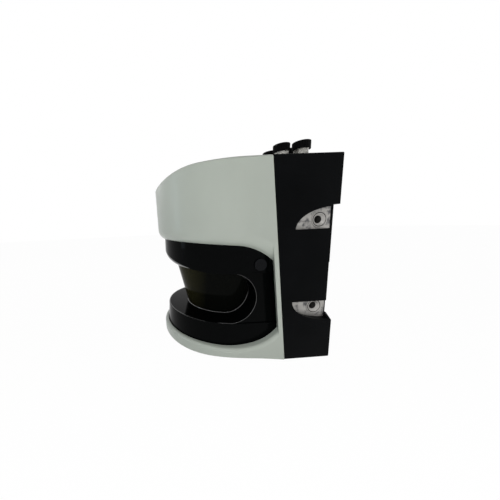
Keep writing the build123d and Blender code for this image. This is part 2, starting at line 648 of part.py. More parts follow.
def base_plate():
    """Plate that closes the foot, with a tongue over the casting's floor."""
    tongue_y = seam_y(0) + BASE_TONGUE_LAP
    half = CAST_X - BASE_TONGUE_INSET
    plate = d_block(FRAME_RADIUS, 0, BASE_THICKNESS) & before_seam(SEAM_GAP)
    plate += block((-half, half), (0, tongue_y), (CAST_END_WALL + WINDOW_CLEARANCE, BASE_THICKNESS))
    for side in (-1, 1):
        for x, y in base_screw_places():
            plate -= screw_hole(side * x, y, 0, 1)
        plate -= disc(SCREW_RADIUS, 0, HEIGHT, side * BASE_SCREW_REAR_X, base_screw_rear_y())
    return plate


def screw_profile(radius_gap=0.0):
    """Countersunk screw, head down at Z = 0 and thread going up."""
    head = Cone(SCREW_HEAD_RADIUS + radius_gap, SCREW_RADIUS + radius_gap, SCREW_HEAD, align=UP)
    return head + disc(SCREW_RADIUS + radius_gap, 0, SCREW_LENGTH)


def screw(x, y, z, up):
    """Countersunk screw with a socket, its head's face at z, pointing up (1) or down (-1)."""
    body = screw_profile() - disc(SCREW_SOCKET_RADIUS, 0, SCREW_SOCKET_DEPTH)
    turn = Rot(0, 0, 0) if up > 0 else Rot(180, 0, 0)
    return Pos(x, y, z) * turn * body


def screw_hole(x, y, z, up):
    """Hole for a countersunk screw, a little larger than the screw."""
    turn = Rot(0, 0, 0) if up > 0 else Rot(180, 0, 0)
    return Pos(x, y, z) * turn * screw_profile(FIT_GAP)


def chassis_screw_place():
    """X and Y of the front chassis screw on the right side, in the middle of the frame's wall."""
    wall = (FRAME_RADIUS + window_radius(WINDOW_SEAT_Z) + WINDOW_FLANGE) / 2
    turn = math.radians(CHASSIS_SCREW_TURN)
    return wall * math.cos(turn), -wall * math.sin(turn)


def lug_screw_y():
    """Y of the rear chassis screws, in the middle of the casting's ledges."""
    return seam_y(FRAME_TOP_Z) + LUG_DEPTH / 2


def chassis_plate():
    """Plate over the frame that carries the receiver and rests on the casting's ledges."""
    radius = FRAME_RADIUS - CHASSIS_INSET
    plate = d_block(radius, FRAME_TOP_Z, CHASSIS_TOP_Z) & before_seam(SEAM_GAP)
    inner = CAST_X - CHASSIS_INSET
    tail = block((-inner, inner), (0, seam_y(FRAME_TOP_Z) + LUG_DEPTH), (FRAME_TOP_Z, CHASSIS_TOP_Z))
    plate += tail
    plate -= disc(TUBE_RADIUS + WINDOW_CLEARANCE, 0, HEIGHT)
    x, y = chassis_screw_place()
    for side in (-1, 1):
        plate -= screw_hole(side * x, y, CHASSIS_TOP_Z, -1)
        plate -= screw_hole(side * LUG_SCREW_X, lug_screw_y(), CHASSIS_TOP_Z, -1)
    return plate


def lens_tube():
    """Tube with a flange on the chassis plate and a lip under the receiving lens."""
    inner = TUBE_RADIUS - TUBE_WALL
    lip_z = TUBE_BOTTOM_Z + TUBE_LIP
    tube = disc(TUBE_RADIUS, TUBE_BOTTOM_Z, TUBE_TOP_Z)
    tube += disc(TUBE_FLANGE_RADIUS, CHASSIS_TOP_Z, CHASSIS_TOP_Z + TUBE_FLANGE_THICKNESS)
    tube -= disc(inner, lip_z, TUBE_TOP_Z)
    return tube - disc(inner - TUBE_LIP * 2, 0, HEIGHT)


def receiver_lens():
    """Large domed lens with a hole in its middle for the laser."""
    outer = TUBE_RADIUS - TUBE_WALL - LENS_CLEARANCE
    bottom = TUBE_BOTTOM_Z + TUBE_LIP
    dome_radius = (outer ** 2 + LENS_CROWN ** 2) / (2 * LENS_CROWN)
    dome = Pos(0, 0, bottom + LENS_EDGE + LENS_CROWN - dome_radius) * Sphere(dome_radius)
    lens = disc(outer, bottom, bottom + LENS_EDGE + LENS_CROWN) & dome
    return lens - disc(LASER_RADIUS + LENS_CLEARANCE, 0, HEIGHT)


def laser_module():
    """Laser barrel through the middle of the lens, with a wider head above it."""
    shoulder = TUBE_BOTTOM_Z + TUBE_LIP + LENS_EDGE + LENS_CROWN
    barrel = disc(LASER_RADIUS, LASER_BOTTOM_Z, shoulder)
    barrel += disc(LASER_HEAD_RADIUS, shoulder, shoulder + LASER_HEAD_LENGTH)
    return barrel - disc(LASER_RADIUS / 2, LASER_BOTTOM_Z, LASER_BOTTOM_Z + LASER_RADIUS / 2)


def receiver_board():
    """Round board that closes the receiver's tube."""
    return disc(TUBE_RADIUS, TUBE_TOP_Z, TUBE_TOP_Z + BOARD_THICKNESS)


def detector():
    """Light detector under the receiver's board."""
    return disc(DETECTOR_RADIUS, TUBE_TOP_Z - DETECTOR_HEIGHT, TUBE_TOP_Z)


def motor_can():
    """Cup of the motor with the lower bearing's seat."""
    bearing_z = MOTOR_BOTTOM_Z + MOTOR_WALL
    can = disc(MOTOR_RADIUS, MOTOR_BOTTOM_Z, LID_BOTTOM_Z)
    can -= disc(MOTOR_RADIUS - MOTOR_WALL, bearing_z, HEIGHT)
    can += disc(BEARING_RADIUS + BEARING_BOSS, MOTOR_BOTTOM_Z, bearing_z + BEARING_HEIGHT)
    return can - disc(BEARING_RADIUS, bearing_z, HEIGHT)


def motor_lid():
    """Flanged lid under the frame's floor with the upper bearing's seat."""
    lid = disc(MOTOR_FLANGE_RADIUS, LID_BOTTOM_Z, LID_BOTTOM_Z + MOTOR_LID)
    lid += disc(BEARING_RADIUS + BEARING_BOSS / 2, LID_BOTTOM_Z, LID_BOTTOM_Z + BEARING_HEIGHT)
    return lid - disc(BEARING_RADIUS, 0, HEIGHT)


def bearing(bottom):
    """Ball bearing as a plain ring, running on the shaft."""
    ring = disc(BEARING_RADIUS, bottom, bottom + BEARING_HEIGHT)
    return ring - disc(SHAFT_RADIUS + RUNNING_CLEARANCE, 0, HEIGHT)


def motor_coils():
    """Ring of copper coils inside the can."""
    outer = MOTOR_RADIUS - MOTOR_WALL
    low, high = magnet_span()
    return disc(outer, low, high) - disc(MAGNET_RADIUS + MAGNET_GAP, 0, HEIGHT)


def magnet_span():
    """Heights of the rotor's magnet, between the two bearings."""
    low = MOTOR_BOTTOM_Z + MOTOR_WALL + BEARING_HEIGHT + MAGNET_GAP
    return low, LID_BOTTOM_Z - MAGNET_GAP


def rotor_magnet():
    """Magnet ring on the shaft."""
    low, high = magnet_span()
    return disc(MAGNET_RADIUS, low, high) - disc(SHAFT_RADIUS, 0, HEIGHT)


def motor_shaft():
    """Steel shaft that carries the magnet, the encoder disc and the mirror."""
    return disc(SHAFT_RADIUS, SHAFT_BOTTOM_Z, SHAFT_TOP_Z)


def encoder_bottom():
    """Height of the encoder disc's lower face."""
    return FLOOR_Z + ENCODER_GAP


def encoder_disc():
    """Slotted disc that tells the mirror's angle."""
    low = encoder_bottom()
    disc_body = disc(ENCODER_RADIUS, low, low + ENCODER_THICKNESS)
    return disc_body - disc(SHAFT_RADIUS, 0, HEIGHT)


def encoder_sensor():
    """Fork on the frame's floor that reads the edge of the encoder disc."""
    low = encoder_bottom()
    top = low + ENCODER_THICKNESS + SENSOR_JAW + SENSOR_GAP
    half = SENSOR_WIDTH / 2
    y_span = (ENCODER_RADIUS - SENSOR_REACH, ENCODER_RADIUS - SENSOR_REACH + SENSOR_DEPTH)
    fork = block((-half, half), y_span, (FLOOR_Z, top))
    slot = (low - SENSOR_GAP, low + ENCODER_THICKNESS + SENSOR_GAP)
    return fork - block((-FAR, FAR), (0, ENCODER_RADIUS + SENSOR_GAP), slot)


def mirror_face(lift):
    """Everything below the mirror's 45 degree plane, raised by a lift."""
    low, high = (-FAR, SCAN_Z - FAR + lift), (FAR, SCAN_Z + FAR + lift)
    return prism(polygon(low, high, (FAR, -2 * FAR), (-FAR, -2 * FAR)))


def mirror_carrier():
    """Round carrier cut off at 45 degrees under the mirror, with a hub on the shaft."""
    thickness = MIRROR_THICKNESS * math.sqrt(2)
    body = disc(CARRIER_RADIUS, CARRIER_BOTTOM_Z, HEIGHT) & mirror_face(-thickness)
    hub_low = encoder_bottom() + ENCODER_THICKNESS
    body += disc(CARRIER_HUB_RADIUS, hub_low, CARRIER_BOTTOM_Z)
    return body - disc(SHAFT_RADIUS, 0, SHAFT_TOP_Z)


def scan_mirror():
    """Flat mirror on the carrier, at 45 degrees to the scan axis."""
    thickness = MIRROR_THICKNESS * math.sqrt(2)
    rod = disc(CARRIER_RADIUS - MIRROR_INSET, CARRIER_BOTTOM_Z, HEIGHT)
    return (rod & mirror_face(0)) - mirror_face(-thickness)


def main_board():
    """Upright board with the processor and its parts, on four standoffs."""
    half = MAIN_BOARD_WIDTH / 2
    front = BOARD_Y - BOARD_THICKNESS
    board = block((-half, half), (front, BOARD_Y), (MAIN_BOARD_BOTTOM_Z, MAIN_BOARD_TOP_Z))
    middle = (MAIN_BOARD_BOTTOM_Z + MAIN_BOARD_TOP_Z) / 2
    chip = CHIP_SIZE / 2
    for x in (-CHIP_PITCH, 0, CHIP_PITCH):
        board += block((x - chip, x + chip), (front - BOARD_THICKNESS, front), (middle - chip, middle + chip))
    return board


def power_board():
    """Upright board that feeds the motor and the laser, with two tall capacitors."""
    half = POWER_BOARD_WIDTH / 2
    front = BOARD_Y - BOARD_THICKNESS
    x_span = (POWER_BOARD_X - half, POWER_BOARD_X + half)
    board = block(x_span, (front, BOARD_Y), (POWER_BOARD_BOTTOM_Z, POWER_BOARD_TOP_Z))
    middle = (POWER_BOARD_BOTTOM_Z + POWER_BOARD_TOP_Z) / 2
    for side in (-1, 1):
        can = Rot(90, 0, 0) * Cylinder(CAPACITOR_RADIUS, CAPACITOR_LENGTH, align=UP)
        board += Pos(POWER_BOARD_X + side * CAPACITOR_PITCH / 2, front, middle) * can
    return board


def connector_places():
    """X, Y, collar height and cap radius of the four connectors."""
    places = []
    for x in (CONNECTOR_X, CONNECTOR_X - CONNECTOR_PITCH):
        places.append((x, CONNECTOR_REAR_Y, COLLAR_HEIGHT_REAR, CAP_RADIUS_REAR))
        places.append((x, CONNECTOR_REAR_Y - CONNECTOR_PITCH, COLLAR_HEIGHT_FRONT, CAP_RADIUS_FRONT))
    return places


def connector(x, y, height):
    """Metal connector: threaded collar, flange on the casting and a body below."""
    body = disc(COLLAR_RADIUS, HEIGHT, HEIGHT + height, x, y)
    body += disc(CONNECTOR_FLANGE_RADIUS, HEIGHT, HEIGHT + CONNECTOR_FLANGE_THICKNESS, x, y)
    body += disc(COLLAR_RADIUS - CAP_CLEARANCE / 2, HEIGHT - CONNECTOR_BODY_DEPTH, HEIGHT, x, y)
    return body - disc(COLLAR_BORE_RADIUS, HEIGHT + height - COLLAR_BORE_DEPTH, HEIGHT + height, x, y)


def connector_insert(x, y, height):
    """Insulator at the bottom of the collar, with its pins."""
    floor = HEIGHT + height - COLLAR_BORE_DEPTH
    insert = disc(COLLAR_BORE_RADIUS, floor, floor + INSERT_THICKNESS, x, y)
    for pin in PolarLocations(PIN_CIRCLE_RADIUS, PIN_COUNT):
        insert += Pos(x, y, floor) * pin * Cylinder(PIN_RADIUS, PIN_HEIGHT, align=UP)
    return insert


def connector_cap(x, y, height, radius):
    """Screw cap over the connector's collar, with flutes round it for the fingers."""
    top = HEIGHT + height + CAP_SEAT_GAP + CAP_TOP
    cap = disc(radius, top - CAP_HEIGHT, top, x, y)
    cap = fillet(cap.edges().group_by(Axis.Z)[-1], CAP_ROUND)
    flute = Cylinder(CAP_FLUTE_RADIUS, CAP_HEIGHT - CAP_TOP, align=UP)
    for place in PolarLocations(radius, CAP_FLUTES):
        cap -= Pos(x, y, top - CAP_HEIGHT) * place * flute
    return cap - disc(COLLAR_RADIUS + CAP_CLEARANCE, 0, top - CAP_TOP, x, y)


def all_parts():
    """Every piece of the sensor under its plain name."""
    parts = {
        "hood": hood(), "hood_gasket": hood_gasket(), "rear_housing": rear_housing(),
        "optics_frame": optics_frame(), "window": window(), "window_seal": window_seal(),
        "window_clamp": window_clamp(), "base_plate": base_plate(), "chassis_plate": chassis_plate(),
        "lens_tube": lens_tube(), "receiver_lens": receiver_lens(), "laser_module": laser_module(),
        "receiver_board": receiver_board(), "detector": detector(), "motor_can": motor_can(),
        "motor_lid": motor_lid(), "motor_coils": motor_coils(), "motor_shaft": motor_shaft(),
        "rotor_magnet": rotor_magnet(), "encoder_disc": encoder_disc(), "encoder_sensor": encoder_sensor(),
        "mirror_carrier": mirror_carrier(), "scan_mirror": scan_mirror(),
        "main_board": main_board(), "power_board": power_board(),
    }
    parts["bearing_lower"] = bearing(MOTOR_BOTTOM_Z + MOTOR_WALL)
    parts["bearing_upper"] = bearing(LID_BOTTOM_Z)
    for side, name in ((1, "right"), (-1, "left")):
        parts[f"side_lens_{name}"] = side_lens(side)
        parts[f"mount_bush_upper_{name}"] = mount_bush(side, MOUNT_Z + BUSH_SPACING / 2)
        parts[f"mount_bush_lower_{name}"] = mount_bush(side, MOUNT_Z - BUSH_SPACING / 2)
        parts[f"hood_screw_{name}"] = screw(side * HOOD_SCREW_X, SEAM_TOP_Y + HOOD_SCREW_LAP, HEIGHT, -1)
        for row, (x, y) in zip(("front", "mid"), base_screw_places()):
            parts[f"base_screw_{row}_{name}"] = screw(side * x, y, 0, 1)
        parts[f"base_screw_rear_{name}"] = screw(side * BASE_SCREW_REAR_X, base_screw_rear_y(), 0, 1)
        x, y = chassis_screw_place()
        parts[f"chassis_screw_front_{name}"] = screw(side * x, y, CHASSIS_TOP_Z, -1)
        parts[f"chassis_screw_rear_{name}"] = screw(side * LUG_SCREW_X, lug_screw_y(), CHASSIS_TOP_Z, -1)
    for name, (x, y, height, radius) in zip(CONNECTOR_NAMES, connector_places()):
        parts[f"connector_{name}"] = connector(x, y, height)
        parts[f"insert_{name}"] = connector_insert(x, y, height)
        parts[f"cap_{name}"] = connector_cap(x, y, height, radius)
    return parts


if __name__ == "__main__":
    os.makedirs("parts", exist_ok=True)
    for name, shape in all_parts().items():
        export_step(shape, f"parts/{name}.step")
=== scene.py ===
# %% [markdown]
# # A safety laser scanner, dressed for its picture
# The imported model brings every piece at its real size. This script gives each piece its finish,
# makes the fine forms that belong to the look, such as threads and beads, and sets up light and camera.
# Everything is in metres, +Z is up, and the scanner looks along -Y.

# %% Load the frame
import json
import math

import bpy
import numpy as np
from mathutils import Matrix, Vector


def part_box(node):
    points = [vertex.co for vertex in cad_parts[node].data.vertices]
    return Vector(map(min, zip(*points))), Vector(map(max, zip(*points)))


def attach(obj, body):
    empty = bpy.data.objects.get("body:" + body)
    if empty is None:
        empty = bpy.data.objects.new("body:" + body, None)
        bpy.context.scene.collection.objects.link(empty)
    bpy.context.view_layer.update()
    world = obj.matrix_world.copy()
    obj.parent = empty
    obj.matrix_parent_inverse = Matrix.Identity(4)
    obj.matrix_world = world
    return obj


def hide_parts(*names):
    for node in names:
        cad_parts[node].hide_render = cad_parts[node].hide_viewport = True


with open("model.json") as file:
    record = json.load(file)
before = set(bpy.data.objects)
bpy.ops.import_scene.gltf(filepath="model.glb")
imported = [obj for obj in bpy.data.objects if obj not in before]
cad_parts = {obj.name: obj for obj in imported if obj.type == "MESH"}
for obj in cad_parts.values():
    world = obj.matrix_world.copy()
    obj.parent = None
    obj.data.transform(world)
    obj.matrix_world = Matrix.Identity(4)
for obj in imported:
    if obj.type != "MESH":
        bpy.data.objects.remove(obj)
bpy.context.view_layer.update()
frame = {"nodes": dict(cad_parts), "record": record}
nodes = frame["nodes"]
MM = 0.001
print("pieces from the model:", len(nodes))

# %% [markdown]
# The camera stands close to the object, a little above its middle, and looks at its right side.
# A close camera makes the near edges of the rims bow, so its distance matters as much as its angle.
# The place, the turn and the lens were found by fitting the model's edges to the photograph.

# %% Camera
PICTURE = 500
CAMERA_PLACE = np.array([244.50, -75.93, 130.89]) * MM
CAMERA_YAW = -0.0388
CAMERA_PITCH = 0.1496
CAMERA_ROLL = -0.0479
FOCAL_PIXELS = 195.22
CENTRE_PIXEL = (170.27, 255.70)
SENSOR_WIDTH = 36.0
CLIP_START = 0.01


def camera_axes(yaw, pitch, roll):
    """Right, up and forward of a camera that looks along -X, turned by yaw, tilted down by pitch."""
    forward = -np.array([math.cos(pitch) * math.cos(yaw), math.cos(pitch) * math.sin(yaw), math.sin(pitch)])
    right = np.cross(forward, [0, 0, 1])
    right /= np.linalg.norm(right)
    up = np.cross(right, forward)
    c, s = math.cos(roll), math.sin(roll)
    return c * right + s * up, c * up - s * right, forward


def placement(right, up, back, place):
    """Matrix of an object with these axes at this place."""
    matrix = np.eye(4)
    matrix[:3] = np.stack([right, up, back, place], -1)
    return Matrix(matrix.tolist())


def make_camera():
    """Camera whose sensor shift puts the picture's centre where the photograph's lens had it."""
    data = bpy.data.cameras.new("camera")
    data.sensor_width = SENSOR_WIDTH
    data.lens = FOCAL_PIXELS / PICTURE * data.sensor_width
    data.shift_x = (PICTURE / 2 - CENTRE_PIXEL[0]) / PICTURE
    data.shift_y = (CENTRE_PIXEL[1] - PICTURE / 2) / PICTURE
    data.clip_start = CLIP_START
    camera = bpy.data.objects.new("camera", data)
    bpy.context.scene.collection.objects.link(camera)
    right, up, forward = camera_axes(CAMERA_YAW, CAMERA_PITCH, CAMERA_ROLL)
    camera.matrix_world = placement(right, up, -forward, CAMERA_PLACE)
    bpy.context.scene.camera = camera
    return camera


camera = make_camera()
print("camera lens in mm:", round(camera.data.lens, 2))

# %% [markdown]
# The scanner stands on a white table before a white wall. A real white floor would need much light,
# which would wash out the black parts. So the floor and the world glow white only for what the eye
# sees, directly, in a reflection or through a window, while they light the object at a plain level.
#
# Three broad lamps give soft light: from above, from low at the right, and down on the floor, which
# throws it back up at the hood. Mirrored in the black parts they would show as squares, so only
# narrow lamps are mirrored: a tall bluish one at the front, and two thin tubes that run from the
# right round the front and draw the bright lines along the groove's edges.

# %% Floor, world and lamps
FLOOR_SIZE = 6.0
FLOOR_WHITE = 0.86
FLOOR_GLOW = 0.98
WORLD_LEVEL = 0.2
CENTRE = (0.02, -0.02, 0.08)
FLOOR_AHEAD = (0.9, -0.05, 0.0)
BROAD = 0.3
TALL = 0.16
TUBE = 0.01
BLUISH = (0.7, 0.88, 1.0)


def seen_by_eye(tree):
    """1 for a ray that the eye follows: from the camera, off a gloss, or through a clear piece."""
    rays = tree.nodes.new("ShaderNodeLightPath")
    value = rays.outputs["Is Camera Ray"]
    for kind in ("Is Glossy Ray", "Is Transmission Ray"):
        either = tree.nodes.new("ShaderNodeMath")
        either.operation = "MAXIMUM"
        tree.links.new(value, either.inputs[0])
        tree.links.new(rays.outputs[kind], either.inputs[1])
        value = either.outputs[0]
    return value


def make_floor():
    """Flat plane under the foot, mostly glowing white to the eye, with a soft shadow."""
    half = FLOOR_SIZE / 2
    mesh = bpy.data.meshes.new("floor")
    corners = [(-half, -half, 0), (half, -half, 0), (half, half, 0), (-half, half, 0)]
    mesh.from_pydata(corners, [], [(0, 1, 2, 3)])
    floor = bpy.data.objects.new("floor", mesh)
    bpy.context.scene.collection.objects.link(floor)
    material = bpy.data.materials.new("floor_white")
    material.use_nodes = True
    tree = material.node_tree
    tree.nodes.clear()
    diffuse = tree.nodes.new("ShaderNodeBsdfDiffuse")
    diffuse.inputs["Color"].default_value = (FLOOR_WHITE, FLOOR_WHITE, FLOOR_WHITE, 1)
    glow = tree.nodes.new("ShaderNodeEmission")
    share = tree.nodes.new("ShaderNodeMath")
    share.operation = "MULTIPLY"
    share.inputs[1].default_value = FLOOR_GLOW
    mix = tree.nodes.new("ShaderNodeMixShader")
    out = tree.nodes.new("ShaderNodeOutputMaterial")
    tree.links.new(seen_by_eye(tree), share.inputs[0])
    tree.links.new(share.outputs[0], mix.inputs[0])
    tree.links.new(diffuse.outputs[0], mix.inputs[1])
    tree.links.new(glow.outputs[0], mix.inputs[2])
    tree.links.new(mix.outputs[0], out.inputs["Surface"])
    mesh.materials.append(material)


def make_world():
    """Even light of a plain level, white to the eye."""
    world = bpy.data.worlds.new("studio")
    world.use_nodes = True
    tree = world.node_tree
    background = tree.nodes["Background"]
    background.inputs["Color"].default_value = (1, 1, 1, 1)
    level = tree.nodes.new("ShaderNodeMapRange")
    level.inputs["To Min"].default_value = WORLD_LEVEL
    level.inputs["To Max"].default_value = 1.0
    tree.links.new(seen_by_eye(tree), level.inputs["Value"])
    tree.links.new(level.outputs[0], background.inputs["Strength"])
    bpy.context.scene.world = world


def make_strip(name, start, end, target, width, power, colour=(1, 1, 1)):
    """Long narrow lamp from start to end that faces a target."""
    start, end, target = np.array(start), np.array(end), np.array(target)
    middle = (start + end) / 2
    along = (end - start) / np.linalg.norm(end - start)
    away = middle - target
    away -= (away @ along) * along
    away /= np.linalg.norm(away)
    data = bpy.data.lights.new(name, "AREA")
    data.shape = "RECTANGLE"
    data.size, data.size_y = float(np.linalg.norm(end - start)), width
    data.energy = power
    data.color = colour
    lamp = bpy.data.objects.new(name, data)
    bpy.context.scene.collection.objects.link(lamp)
    lamp.matrix_world = placement(along, np.cross(away, along), away, middle)
    return lamp


make_floor()
make_world()
broad_lamps = [
    make_strip("lamp_top", (-0.3, -0.3, 1.3), (0.9, -0.3, 1.3), CENTRE, 4 * BROAD, 0.1),
    make_strip("lamp_low", (0.6, -0.5, 0.02), (0.6, 0.25, 0.02), CENTRE, BROAD, 1.7),
    make_strip("lamp_floor", (0.35, -0.6, 0.45), (0.35, 0.5, 0.45), FLOOR_AHEAD, BROAD, 8.0),
]
narrow_lamps = [
    make_strip("lamp_band", (0.0, -1.0, 0.0), (0.0, -1.0, 0.5), CENTRE, TALL, 0.6, BLUISH),
    make_strip("lamp_right", (0.7, 0.05, 0.7), (0.1, -0.8, 0.59), CENTRE, TUBE, 0.7),
    make_strip("lamp_far", (0.1, -0.8, 0.59), (-0.7, -0.65, 0.3), CENTRE, TUBE, 0.5),
]
for lamp in broad_lamps:
    lamp.visible_glossy = False
bpy.context.scene.view_settings.view_transform = "Standard"
print("lamps:", [lamp.name for lamp in broad_lamps + narrow_lamps])

# %% [markdown]
# Each finish is a small recipe: one Principled shader with its constant values set on it,
# and a few textures on Object coordinates for what varies: grain, mottling and smudges.
# Object coordinates are in metres here, so a noise of scale 1000 has lumps of about a millimetre.

# %% Helpers for finishes
NOISE_LOW = 0.3
NOISE_HIGH = 0.7


def principled(name, colour, roughness, metallic=0.0, gleam=0.5):
    """New material with one Principled shader; gleam is how much a plain surface mirrors."""
    material = bpy.data.materials.new(name)
    material.use_nodes = True
    tree = material.node_tree
    shader = tree.nodes["Principled BSDF"]
    shader.inputs["Base Color"].default_value = (*colour, 1)
    shader.inputs["Roughness"].default_value = roughness
    shader.inputs["Metallic"].default_value = metallic
    shader.inputs["Specular IOR Level"].default_value = gleam
    return material, tree, shader


def noise(tree, scale, detail=4.0, stretch=(1, 1, 1)):
    """Noise texture on Object coordinates, stretched by a mapping."""
    place = tree.nodes.new("ShaderNodeTexCoord")
    mapping = tree.nodes.new("ShaderNodeMapping")
    mapping.inputs["Scale"].default_value = stretch
    texture = tree.nodes.new("ShaderNodeTexNoise")
    texture.inputs["Scale"].default_value = scale
    texture.inputs["Detail"].default_value = detail
    tree.links.new(place.outputs["Object"], mapping.inputs["Vector"])
    tree.links.new(mapping.outputs[0], texture.inputs["Vector"])
    return texture.outputs["Fac"]


def along_axis(tree, axis):
    """Object coordinate along X, Y or Z, in metres."""
    place = tree.nodes.new("ShaderNodeTexCoord")
    split = tree.nodes.new("ShaderNodeSeparateXYZ")
    tree.links.new(place.outputs["Object"], split.inputs[0])
    return split.outputs[axis]


def spread(tree, value, low, high, start=NOISE_LOW, end=NOISE_HIGH):
    """Map a value between start and end to a range of numbers, held at both ends."""
    node = tree.nodes.new("ShaderNodeMapRange")
    node.inputs["From Min"].default_value = start
    node.inputs["From Max"].default_value = end
    node.inputs["To Min"].default_value = low
    node.inputs["To Max"].default_value = high
    tree.links.new(value, node.inputs["Value"])
    return node.outputs[0]


def ramp(tree, value, low, high, low_at=NOISE_LOW, high_at=NOISE_HIGH):
    """Colour ramp between two colours."""
    node = tree.nodes.new("ShaderNodeValToRGB")
    for element, colour, place in zip(node.color_ramp.elements, (low, high), (low_at, high_at)):
        element.position = place
        element.color = (*colour, 1)
    tree.links.new(value, node.inputs["Fac"])
    return node.outputs["Color"]


def bump(tree, shader, height, strength, distance):
    """Bump from a height value; distance is the height of a full step in metres."""
    node = tree.nodes.new("ShaderNodeBump")
    node.inputs["Strength"].default_value = strength
    node.inputs["Distance"].default_value = distance
    tree.links.new(height, node.inputs["Height"])
    tree.links.new(node.outputs[0], shader.inputs["Normal"])


print("noise is read between", NOISE_LOW, "and", NOISE_HIGH)

# %% [markdown]
# The hood is pale grey paint with a hint of green on moulded plastic. A flat colour would look like
# card, so the tone drifts slowly, the gloss varies, and a very fine orange peel breaks the highlights.
# A thin coat gives the soft vertical band of light that a satin paint shows on a round wall.

# %% Hood finish
HOOD_COLOUR = np.array([0.390, 0.425, 0.376])
HOOD_DRIFT = 0.03
HOOD_COAT = 0.3
HOOD_COAT_ROUGHNESS = 0.22
HOOD_ROUGHNESS = (0.36, 0.46)
DRIFT_SCALE = 14
SMUDGE_SCALE = 60
PEEL_SCALE = 900
PEEL_STRENGTH = 0.1
PEEL_HEIGHT = 0.0002


def hood_finish():
    """Pale grey-green satin paint with a faint drift of tone and a fine orange peel."""
    material, tree, shader = principled("hood_paint", HOOD_COLOUR, HOOD_ROUGHNESS[0])
    shader.inputs["Coat Weight"].default_value = HOOD_COAT
    shader.inputs["Coat Roughness"].default_value = HOOD_COAT_ROUGHNESS
    low, high = HOOD_COLOUR * (1 - HOOD_DRIFT), HOOD_COLOUR * (1 + HOOD_DRIFT)
    tree.links.new(ramp(tree, noise(tree, DRIFT_SCALE, 3), low, high), shader.inputs["Base Color"])
    tree.links.new(spread(tree, noise(tree, SMUDGE_SCALE, 4), *HOOD_ROUGHNESS), shader.inputs["Roughness"])
    bump(tree, shader, noise(tree, PEEL_SCALE, 2), PEEL_STRENGTH, PEEL_HEIGHT)
    return material


print("hood colour:", HOOD_COLOUR.tolist())

# %% [markdown]
# The black parts are two finishes. The casting has a satin powder coat with a fine grain, and the
# optics frame is polished plastic that mirrors the lamps as thin lines along its rounded edges.
# Black needs a low gleam here: a white room mirrored at full strength would turn it grey.

# %% Black finishes
BLACK_GLEAM = 0.03
BEAD_GLEAM = 0.9
CASTING_DARK = (0.0013, 0.0016, 0.0018)
CASTING_LIGHT = (0.0024, 0.0027, 0.0032)
OPTICS_BLACK = (0.0012, 0.0015, 0.0016)
PLASTIC_GRAIN = 1500


def casting_finish():
    """Black satin powder coat on the casting, with its fine grain."""
    material, tree, shader = principled("casting_black", CASTING_DARK, 0.45, gleam=BLACK_GLEAM)
    tree.links.new(spread(tree, noise(tree, 40, 4), 0.38, 0.55), shader.inputs["Roughness"])
    tree.links.new(ramp(tree, noise(tree, 30, 3), CASTING_DARK, CASTING_LIGHT), shader.inputs["Base Color"])
    bump(tree, shader, noise(tree, 1600, 3), 0.25, 0.0003)
    return material


def gloss_finish():
    """Polished black plastic of the optics frame, with faint wiping marks."""
    material, tree, shader = principled("optics_gloss", OPTICS_BLACK, 0.12, gleam=BLACK_GLEAM)
    tree.links.new(spread(tree, noise(tree, 30, 5, (1, 1, 4)), 0.07, 0.16), shader.inputs["Roughness"])
    bump(tree, shader, noise(tree, 35, 2), 0.04, 0.0006)
    return material


def bead_finish():
    """The same plastic on its rounded edges, polished by cleaning, so that it mirrors the lamps."""
    material, tree, shader = principled("optics_edge", OPTICS_BLACK, 0.1, gleam=BEAD_GLEAM)
    tree.links.new(spread(tree, noise(tree, 220, 3), 0.05, 0.2), shader.inputs["Roughness"])
    bump(tree, shader, noise(tree, 160, 2), 0.3, 0.0006)
    return material


def plastic_finish(name, colour, roughness, gleam=0.3):
    """Moulded plastic or rubber with a fine grain."""
    material, tree, shader = principled(name, colour, roughness, gleam=gleam)
    grain = spread(tree, noise(tree, 120, 4), roughness * 0.85, roughness * 1.2)
    tree.links.new(grain, shader.inputs["Roughness"])
    bump(tree, shader, noise(tree, PLASTIC_GRAIN, 3), 0.15, 0.0002)
    return material


print("gleam of flat and of rounded black:", BLACK_GLEAM, BEAD_GLEAM)

# %% [markdown]
# The window is dark plastic that only infrared light passes. To the eye it is nearly black, and a
# little olive at its front: a painted olive sheen, the light of its grazing front edge put into the
# base colour, which follows the Object coordinate along Y. Only a small share of the light goes through.

# %% Window and lens finishes
WINDOW_DARK = (0.0026, 0.0030, 0.0024)
# Painted sheen: the olive is the light of the window's front edge, put into the base colour.
WINDOW_PAINTED_SHEEN = (0.030, 0.028, 0.010)
SHEEN_FROM_Y = -0.060
SHEEN_TO_Y = -0.030
WINDOW_GLEAM = 0.02
WINDOW_PASSES = 0.06
WINDOW_IOR = 1.3
LENS_PASSES = 0.95


def window_finish():
    """Dark plastic with a painted olive sheen in its base colour towards its front."""
    material, tree, shader = principled("window_dark", WINDOW_DARK, 0.05, gleam=WINDOW_GLEAM)
    shader.inputs["Transmission Weight"].default_value = WINDOW_PASSES
    shader.inputs["IOR"].default_value = WINDOW_IOR
    # Painted sheen: the base colour goes from olive at the front to dark further back, along Y.
    back = spread(tree, along_axis(tree, "Y"), 0, 1, SHEEN_FROM_Y, SHEEN_TO_Y)
    tree.links.new(ramp(tree, back, WINDOW_PAINTED_SHEEN, WINDOW_DARK, 0, 1), shader.inputs["Base Color"])
    tree.links.new(spread(tree, noise(tree, 25, 4), 0.03, 0.08), shader.inputs["Roughness"])
    return material


def lens_finish():
    """Clear polished glass of the receiving lens."""
    material, tree, shader = principled("lens_glass", (0.9, 0.94, 0.95), 0.02)
    shader.inputs["Transmission Weight"].default_value = LENS_PASSES
    tree.links.new(spread(tree, noise(tree, 50, 2), 0.01, 0.05), shader.inputs["Roughness"])
    return material


print("the window is olive up to Y:", SHEEN_FROM_Y)

# %% [markdown]
# Metals mirror what is around them, so their look is mostly roughness. The pockets of the casting
# were milled after it was coated: bare metal with cloudy stains. The turned pieces have fine rings.

